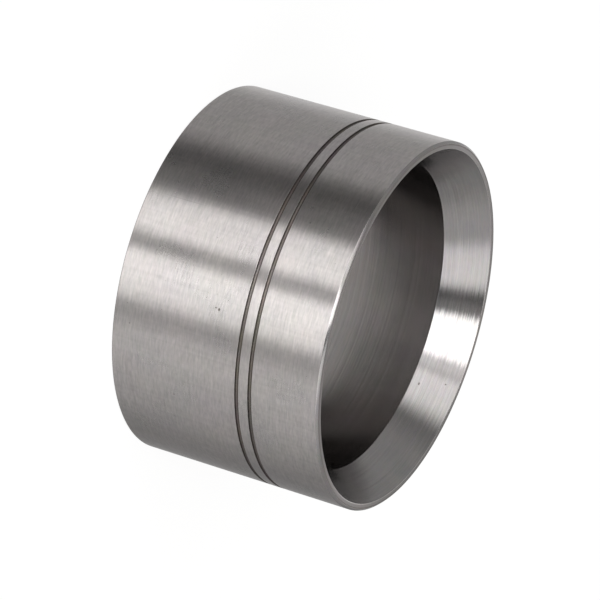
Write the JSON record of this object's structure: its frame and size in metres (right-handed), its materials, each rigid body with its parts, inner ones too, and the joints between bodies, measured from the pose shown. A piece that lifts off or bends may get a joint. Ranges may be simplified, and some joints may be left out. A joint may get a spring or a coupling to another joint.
{
  "type": "bushing",
  "caption": "Plain cylindrical steel sleeve bushing with a straight bore, a wide tapered lead-in at the mouth and narrow marker grooves round the outside.",
  "frame": {"origin": "centre of the rear face, where the bushing stands", "axes": "+Z along the bore axis, out of the mouth; X and Y are any two directions square to it, since the bushing is round"},
  "size_m": [0.0762, 0.0762, 0.046],
  "materials": {
    "ground_steel": "turned and ground bare steel, satin, with fine circumferential tool lines"
  },
  "bodies": {
    "root": {"bushing": "ground_steel"}
  },
  "joints": []
}
